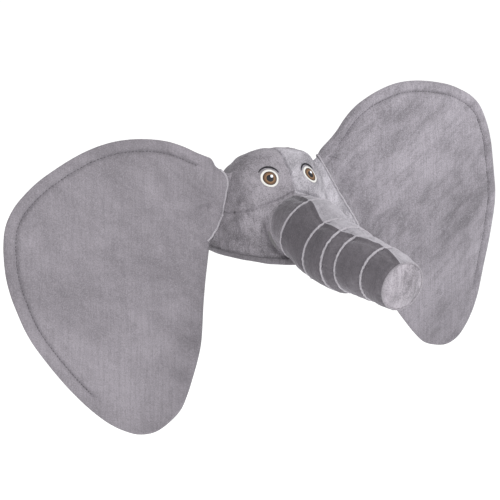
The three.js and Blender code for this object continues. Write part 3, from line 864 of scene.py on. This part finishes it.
class EarPlane:
    """The plane, outline and root seam of an ear, read from its CAD panel."""

    def __init__(self, name, side):
        self.name, self.side = name, side
        joint = JOINTS[f"ear_flap_{name}"]
        self.origin = np.array(joint["pos_m"])
        mesh = frame["nodes"][f"ear_front_panel_{name}"].data
        facing = [np.array(face.normal) * face.area for face in mesh.polygons if face.normal.y < -0.7]
        self.front = unit(np.sum(facing, axis=0))
        self.down = unit(np.array(joint["axis"]) * -np.sign(joint["axis"][2]))
        self.out = unit(np.cross(self.down, self.front))
        self.out *= np.sign(self.out[0] * side)
        local = self.flat(np.unique(np.round([list(v.co) for v in mesh.vertices], 6), axis=0))
        rim = local[local[:, 2] > local[:, 2].max() - 0.1 * MM][:, :2]
        centre = rim.mean(0)
        rim = rim[np.argsort(np.arctan2(rim[:, 1] - centre[1], rim[:, 0] - centre[0]))]
        on_root = np.flatnonzero(np.abs(rim[:, 0]) < 0.4 * MM)
        top, bottom = on_root[np.argmin(rim[on_root, 1])], on_root[np.argmax(rim[on_root, 1])]
        self.root_length = rim[bottom, 1]
        rim = np.roll(rim, -top, 0)
        bottom = (bottom - top) % len(rim)
        if bottom < len(rim) / 2:
            rim = np.vstack([rim[:1], rim[:0:-1]])
            bottom = (len(rim) - bottom) % len(rim)
        edge = catmull(rim[:bottom + 1], 14)
        self.root = catmull(np.array(ROOT_ARCS[name]) * MM, 20)
        near_top = 1 - ease(np.linalg.norm(edge - edge[0], axis=1) / CORNER_REACH)
        near_top[len(edge) // 2:] = 0
        self.free = edge + (self.root[0] - edge[0]) * near_top[:, None]

    def flat(self, points):
        """Outward from the root seam, down along it, and forward, from the top of the root seam."""
        away = points - self.origin
        return np.stack([away @ self.out, away @ self.down, away @ self.front], -1)

    def world(self, out, down, forward):
        parts = [part[..., None] for part in np.broadcast_arrays(out, down, forward)]
        return self.origin + parts[0] * self.out + parts[1] * self.down + parts[2] * self.front

    def inward(self, line, tangent, centre):
        """Flat directions from each point of a line towards the middle of the ear."""
        across = np.stack([-tangent[:, 1], tangent[:, 0]], -1)
        return across * np.sign(((centre - line) * across).sum())


EARS = {name: EarPlane(name, side) for name, side in SIDES.items()}


def smoothed_ring(values, reach):
    """Circular Gaussian smoothing along the first axis."""
    count = len(values)
    offset = np.arange(count)
    kernel = np.exp(-0.5 * (np.minimum(offset, count - offset) / reach) ** 2)
    spectrum = np.fft.rfft(kernel / kernel.sum())[:, None]
    return np.fft.irfft(np.fft.rfft(values, axis=0) * spectrum, count, axis=0)


def ear_sway(plane, flat):
    """How far the ear's middle surface leaves its plane: broad waves and folds that fan out from the root."""
    seed, fade = (200, 150 * MM) if plane.side > 0 else (300, 80 * MM)
    sway = ripples(flat[..., :2], (2.6, 260, seed), (1.3, 120, seed + 1))
    from_root = flat[..., :2] - np.array([0, 0.45 * plane.root_length])
    reach = np.linalg.norm(from_root, axis=-1)
    angle = np.arctan2(from_root[..., 1], from_root[..., 0])
    fan = np.sin(angle * 7 + 1.3 * np.sin(angle * 3 + seed))
    return sway + 3.4 * MM * fan * np.exp(-reach / fade) * ease(reach / (30 * MM))


def ear_outline(plane):
    """Closed outline in equal steps: the free edge from the root's top to its bottom, then up the root."""
    free = plane.free
    root = np.linalg.norm(free[0] - free[-1])
    root_steps = max(int(EDGE_STEPS * root / (run_along(free)[-1] + root)), 4)
    edge = by_length(free, EDGE_STEPS - root_steps + 1)
    share = np.linspace(0, 1, root_steps + 1)[1:-1, None]
    return np.vstack([edge, free[-1] * (1 - share) + free[0] * share]), len(edge)


def ear_profile(inset, in_channel):
    """Half thickness of the ear, at a distance in from its edge; in_channel is 1 beside the wire channel."""
    edge = EDGE_THICK * np.sqrt(np.clip(inset / (5 * MM), 0, 1))
    body = (EAR_THICK + 0.6 * MM - EDGE_THICK) * ease((inset - 6 * MM) / (34 * MM))
    channel = 1.1 * MM * hump(inset, WIRE_INSET, 4.2 * MM)
    stitched = 2.6 * MM * hump(inset, STITCH_INSET, 2.4 * MM)
    pull = 0.9 * MM * np.exp(-np.abs(inset - STITCH_INSET) / (9 * MM))
    return edge + body + in_channel * (channel - stitched - pull)


def ear_layout(plane):
    """Rows of points from the edge to the middle of the ear, each with its inset and channel share."""
    outline, edge_count = ear_outline(plane)
    tangent = unit(np.roll(outline, -1, 0) - np.roll(outline, 1, 0))
    centre = outline.mean(0)
    inward = unit(smoothed_ring(plane.inward(outline, tangent, centre), 7))
    share = np.clip(np.arange(len(outline)) / (edge_count - 1), 0, 1)
    along = ease((share - 0.02) / 0.02) * (1 - ease((share - CHANNEL_END + 0.02) / 0.04))
    along[edge_count:] = 0
    rows = [outline + inward * inset for inset in INSETS]
    insets = list(np.repeat(INSETS[:, None], len(outline), 1))
    inner = rows[-1]
    for step in range(1, MIDDLE_STEPS):
        t = step / MIDDLE_STEPS
        rows.append(inner * (1 - t) + centre * t)
        insets.append(INSETS[-1] + np.linalg.norm(rows[-1] - inner, axis=1))
    return np.array(rows), np.array(insets), along, centre


def ear_surface(plane, flat, inset, along, facing):
    """Points on the front (facing 1) or back (facing -1) of the ear."""
    seed = (500 if plane.side > 0 else 600) + (0 if facing > 0 else 50)
    wrinkle = ease(inset / (8 * MM)) * ripples(flat, (0.55, 55, seed), (0.22, 21, seed + 1))
    near_stitches = np.exp(-np.abs(inset - STITCH_INSET) / (8 * MM)) * along
    pucker = near_stitches * ripples(flat, (0.38, 11, seed + 2))
    forward = ear_sway(plane, flat) + facing * (ear_profile(inset, along) + wrinkle + pucker)
    return plane.world(flat[..., 0], flat[..., 1], forward)


def make_ear(name):
    plane = EARS[name]
    rows, insets, along, centre = ear_layout(plane)
    count = rows.shape[1]
    last = (len(rows) - 1) * count
    for face, facing, filling in (("front", 1, [f"ear_batting_{name}"]), ("back", -1, [])):
        points = ear_surface(plane, rows, insets, along[None], facing).reshape(-1, 3)
        middle = ear_surface(plane, centre[None], np.array([CENTRE_DEPTH]), np.zeros(1), facing)
        faces = grid_faces(len(rows), count, True) + fan_faces(last, count, last + count)
        if (facing < 0) != (plane.side < 0):
            faces = [f[::-1] for f in faces]
        look = f"ear_{name}" if face == "front" else "ear_back"
        piece = new_piece(f"ear_{face}_cloth_{name}", np.concatenate([points, middle]), faces, look)
        if np.array(piece.data.polygons[len(faces) // 2].normal) @ plane.front * facing < 0:
            piece.data.flip_normals()
        declare(piece, f"ear_{name}", [f"ear_{face}_panel_{name}"] + filling)
    make_stitches(plane, rows, along)
    make_wire(plane)


def make_stitches(plane, rows, along):
    """A row of thread stitches down in the channel's groove, on both faces of the ear."""
    row = int(np.argmin(np.abs(INSETS - STITCH_INSET)))
    line = rows[row][along > 0.5]
    pitch, length, radius = 5.4 * MM, 3.7 * MM, 0.42 * MM
    run = run_along(line)
    thick = radius * np.array([0.35, 0.9, 1.0, 0.9, 0.35])[:, None, None]
    shares = np.linspace(0, 1, len(thick))
    sides = 6
    turn = around(sides)[None, :, None]
    last = (len(thick) - 1) * sides
    points, faces = [], []
    for facing in (1, -1):
        for start in np.arange(pitch, run[-1] - pitch, pitch):
            flat = np.stack([np.interp(start + shares * length, run, line[:, k]) for k in (0, 1)], -1)
            middle = ear_surface(plane, flat, np.full(len(flat), INSETS[row]), np.ones(len(flat)), facing)
            proud = 0.55 * MM * np.sin(math.pi * shares) - 0.1 * MM
            middle = middle + plane.front * facing * proud[:, None]
            across = unit(np.cross(unit(middle[-1] - middle[0]), plane.front))
            ring = np.cos(turn) * across + np.sin(turn) * plane.front
            base = len(points) * len(thick) * sides
            points.append((middle[:, None] + thick * ring).reshape(-1, 3))
            faces += grid_faces(len(thick), sides, True, base)
            faces += [tuple(range(base, base + sides)), tuple(range(base + last, base + last + sides))[::-1]]
    piece = new_piece(f"ear_topstitch_{plane.name}", np.concatenate(points), faces, "thread")
    declare(piece, f"ear_{plane.name}")


def make_wire(plane):
    """The sprung wire in its tape casing, inside the channel."""
    outline, edge_count = ear_outline(plane)
    edge = outline[:edge_count]
    tangent = unit(np.gradient(edge, axis=0))
    path = edge + unit(plane.inward(edge, tangent, outline.mean(0))) * WIRE_INSET
    share = np.linspace(0, 1, edge_count)
    path = path[(share > 0.03) & (share < CHANNEL_END)]
    middle = by_length(plane.world(path[:, 0], path[:, 1], ear_sway(plane, path)), 200)
    body = f"ear_{plane.name}"
    wire = loop_tube(f"ear_wire_rod_{plane.name}", middle, 1.1 * MM, 8, "steel", plane.front, closed=False)
    declare(wire, body, [f"ear_wire_{plane.name}"])
    casing = loop_tube(f"ear_wire_tape_{plane.name}", middle[3:-3], 2.6 * MM, 12, "tape", plane.front,
                       closed=False, flatten=0.62)
    declare(casing, body, [f"ear_wire_casing_{plane.name}"])


# ---------------------------------------------------------------- where each ear joins the cap

CUFF_END = 18 * MM               # how far out the root cloth runs over the ear
GUSSET_HALF = 5.2 * MM
RAY_START, RAY_LENGTH = 90 * MM, 89 * MM
ROOT_STEPS, ROOT_COLUMNS = 120, 34
LEAST_PINCH = 0.35               # of the pipings where the root seam's ends are pinched flat
BEND_START, BEND_END = -5.5 * MM, 9 * MM         # outward from the hinge line


def cap_trees(name):
    """The shapes that an ear's root cloth lies on."""
    shapes = [f"{panel}_panel_{name}_cloth" for panel in ("forehead", "cheek", "back")]
    shapes.append(f"ear_gusset_cloth_{name}")
    depsgraph = bpy.context.evaluated_depsgraph_get()
    return [BVHTree.FromObject(bpy.data.objects[shape], depsgraph) for shape in shapes]


def averaged(values, reach):
    """Running mean over reach values to each side."""
    width = 2 * reach + 1
    return np.convolve(np.pad(values, reach, mode="edge"), np.ones(width) / width, mode="valid")


def height_over_cap(plane, trees, facing):
    """How far in front of (or behind) the ear's plane the cap's cloth lies, along an ear's root seam."""
    heights = []
    for place in plane.world(*by_length(plane.root, ROOT_STEPS).T, facing * RAY_START):
        hits = [tree.ray_cast(Vector(place), Vector(-facing * plane.front), RAY_LENGTH) for tree in trees]
        reach = [RAY_START - hit[3] for hit in hits if hit[3] is not None]
        heights.append(max(reach + [GUSSET_HALF * 0.6]))
    heights = np.array(heights)
    if facing < 0:
        padded = np.pad(heights, 12, mode="edge")
        return averaged(np.max([padded[k:k + len(heights)] for k in range(25)], axis=0), 12)
    return np.maximum(heights, averaged(heights, 6))


def make_root_cloth(name):
    """The ear's cloth from its sewn seam on the cap, over the hinge line and onto the ear.
    """
    plane = EARS[name]
    arc = by_length(plane.root, ROOT_STEPS)
    across = np.linspace(0, 1, ROOT_COLUMNS)
    share = np.linspace(0, 1, ROOT_STEPS)
    corner = plane.free[np.argmax(plane.free[:, 0] > CUFF_END), 1] + 1.2 * MM
    outer = np.linspace([CUFF_END, corner], [CUFF_END, arc[-1, 1] + 1 * MM], ROOT_STEPS)
    line = arc[:, None] * (1 - across[:, None]) + outer[:, None] * across[:, None]
    inset = np.clip(line[..., 0], 0, None)
    sway = ear_sway(plane, line) * ease(inset / CUFF_END)
    fold = ripples(line, (0.5, 22, 410 + plane.side)) * np.sin(math.pi * across)
    on_ear = ear_profile(inset, 0.0) + 0.35 * MM - 1.3 * MM * ease((across - 0.86) / 0.14)
    pinch = np.sqrt(np.clip(np.minimum(share, 1 - share) / 0.06, 0.0, 1))
    trees = cap_trees(name)
    sheets, pipings = [], []
    for facing in (1, -1):
        sewn = height_over_cap(plane, trees, facing) + 0.9 * MM
        height = sewn[:, None] * (1 - ease(across)) + on_ear * ease(across) + fold
        sheets.append(plane.world(line[..., 0], line[..., 1], facing * height * pinch[:, None] + sway))
        pipings.append(facing * (sewn - 0.3 * MM) * np.maximum(pinch, LEAST_PINCH))
    rows = np.concatenate([sheets[0], sheets[1][:, ::-1]], 1).reshape(-1, 3)
    faces = grid_faces(ROOT_STEPS, 2 * ROOT_COLUMNS, True)
    sleeve = outward_faces(new_piece(f"ear_root_cloth_{name}", rows, faces, f"ear_{name}"))
    middle = plane.root_length / 2
    start, end = (tuple(plane.world(out, middle, 0.0)) for out in (BEND_START, BEND_END))
    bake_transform(sleeve)
    declare(sleeve)
    for forward, label in zip(pipings, ("front", "back")):
        path = plane.world(arc[:, 0], arc[:, 1], forward) + plane.out * ripples(arc, (0.25, 14, 420))[:, None]
        piping = loop_tube(f"ear_root_piping_{label}_{name}", path, 1.5 * MM, 10, "tuck", plane.front,
                           closed=False)
        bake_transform(piping)
        declare(piping)


def make_gusset(name):
    """The cap's cloth, drawn out from the side of the head to the ear's root."""
    plane, side = EARS[name], SIDES[name]
    angle = around(180)
    lengthwise = np.sign(np.cos(angle)) * np.abs(np.cos(angle)) ** 0.35
    thick = np.sign(np.sin(angle)) * np.abs(np.sin(angle)) ** 0.8
    # at the ear: a flat loop along the root
    top, bottom = plane.root[0, 1] + 3 * MM, plane.root[-1, 1] - 2 * MM
    down = (top + bottom) / 2 + (bottom - top) / 2 * lengthwise
    lean = plane.root[0, 0] * 0.3 * np.clip(1 - (down - top) / (24 * MM), 0, 1)
    ear_loop = plane.world(-1.5 * MM + lean, down, GUSSET_HALF * 0.8 * thick)
    waist_loop = plane.world(-9 * MM + lean, down, (GUSSET_HALF + 0.4 * MM) * thick)
    # at the head: a wide loop lying just inside the dome
    low, high = (34 if side < 0 else 13) * MM, 149 * MM
    z = (low + high) / 2 - (high - low) / 2 * lengthwise
    half_width, front, back = section(z)
    y = -thick * 26 * MM * np.clip(1.25 - z / (220 * MM), 0.4, 1.2)
    depth = np.maximum(np.where(y < 0, front, back), 0.1 * MM)
    x = side * half_width * np.sqrt(np.clip(1 - (y / depth) ** 2, 0.05, 1))
    turn = np.arcsin(np.clip(x / half_width, -1, 1))
    normal = dome_normal(np.where(y < 0, turn, math.pi - turn), np.arcsin(z / HEIGHT))
    head_loop = np.stack([x, y, z], -1) - normal * 1.4 * MM
    gap = np.linalg.norm(head_loop - waist_loop, axis=1, keepdims=True)
    leave_ear = -plane.out * gap * 0.9
    inward = unit(np.cross(normal, unit(np.roll(head_loop, -1, 0) - np.roll(head_loop, 1, 0))))
    inward *= np.sign(((head_loop.mean(0) - head_loop) * inward).sum(-1, keepdims=True))
    meet_head = -inward * gap * 0.7
    rows = [ear_loop * (1 - t) + waist_loop * t for t in (0, 0.25, 0.5, 0.75)]
    for t in np.linspace(0, 1, 37):
        row = (2 * t**3 - 3 * t**2 + 1) * waist_loop + (t**3 - 2 * t**2 + t) * leave_ear
        row += (3 * t**2 - 2 * t**3) * head_loop + (t**3 - t**2) * meet_head
        soft = ripples(row, (0.6, 26, 90)) * math.sin(math.pi * t)
        rows.append(row + unit(row - row.mean(0)) * soft[:, None])
    faces = grid_faces(len(rows), len(angle), True) + [tuple(range(len(angle)))]
    # the left gusset gets the lighter copy: brushed nap and painted light on the key lamp's side
    look = "cap_light" if name == "left" else "cap"
    piece = outward_faces(new_piece(f"ear_gusset_cloth_{name}", np.concatenate(rows), faces, look))
    declare(piece, "cap", [f"ear_gusset_{name}"])


# ---------------------------------------------------------------- stage, light and camera

FLOOR_SIZE, FLOOR_DROP = 160, 0.45               # the drop is below the lowest point of the hat
VIEW_AZIMUTH, VIEW_ELEVATION, VIEW_DISTANCE = math.radians(-33), math.radians(12), 2.1
VIEW_TARGET = Vector((-0.008, 0.050, -0.002))
LENS_MM, SENSOR_MM = 97.5, 36


def make_stage():
    bpy.ops.mesh.primitive_plane_add(size=FLOOR_SIZE, location=(0, 0, cad_low.z - FLOOR_DROP))
    floor = bpy.context.object
    floor.name = "floor"
    material, tree, principled, _ = shader("floor_white", (0.99, 0.99, 0.99), 0.9)
    set_sockets(tree, principled, {"Specular IOR Level": 0.1, "Emission Color": (1, 1, 1, 1),
                                   "Emission Strength": 0.3})
    floor.data.materials.append(material)
    world = bpy.data.worlds.new("studio")
    bpy.context.scene.world = world
    world.use_nodes = True
    tree = world.node_tree
    set_sockets(tree, tree.nodes["Background"], {"Color": (1, 1, 1, 1), "Strength": 0.8})


def add_object(name, data, place, facing):
    thing = bpy.data.objects.new(name, data)
    bpy.context.scene.collection.objects.link(thing)
    thing.location = place
    thing.rotation_euler = facing.to_track_quat("-Z", "Y").to_euler()
    return thing


def area_light(name, place, target, size, power):
    data = bpy.data.lights.new(name, "AREA")
    data.shape = "DISK"
    data.size = size
    data.energy = power
    add_object(name, data, place, Vector(target) - Vector(place))


def make_camera():
    """The photograph's view: from the elephant's right, a little above."""
    level = math.cos(VIEW_ELEVATION)
    back = Vector((math.sin(VIEW_AZIMUTH) * level, -math.cos(VIEW_AZIMUTH) * level, math.sin(VIEW_ELEVATION)))
    data = bpy.data.cameras.new("camera")
    data.sensor_width = SENSOR_MM
    data.lens = LENS_MM
    data.clip_end = 100
    bpy.context.scene.camera = add_object("camera", data, VIEW_TARGET + back * VIEW_DISTANCE, -back)


make_camera()
make_cap_panels()
make_lining()
make_hem()
make_elastic()
make_label()
make_eyes()
make_brows()
make_trunk()
make_tucks()
make_tip()
for ear_name in SIDES:
    make_ear(ear_name)
    make_gusset(ear_name)
    make_root_cloth(ear_name)
make_stage()
area_light("key", (1.1, -1.9, 1.6), (0.1, -0.05, 0.05), 0.5, 34)
area_light("fill", (-1.7, -1.6, 0.5), (0.0, -0.1, 0.0), 1.0, 12)
bpy.context.scene.view_settings.view_transform = "Standard"
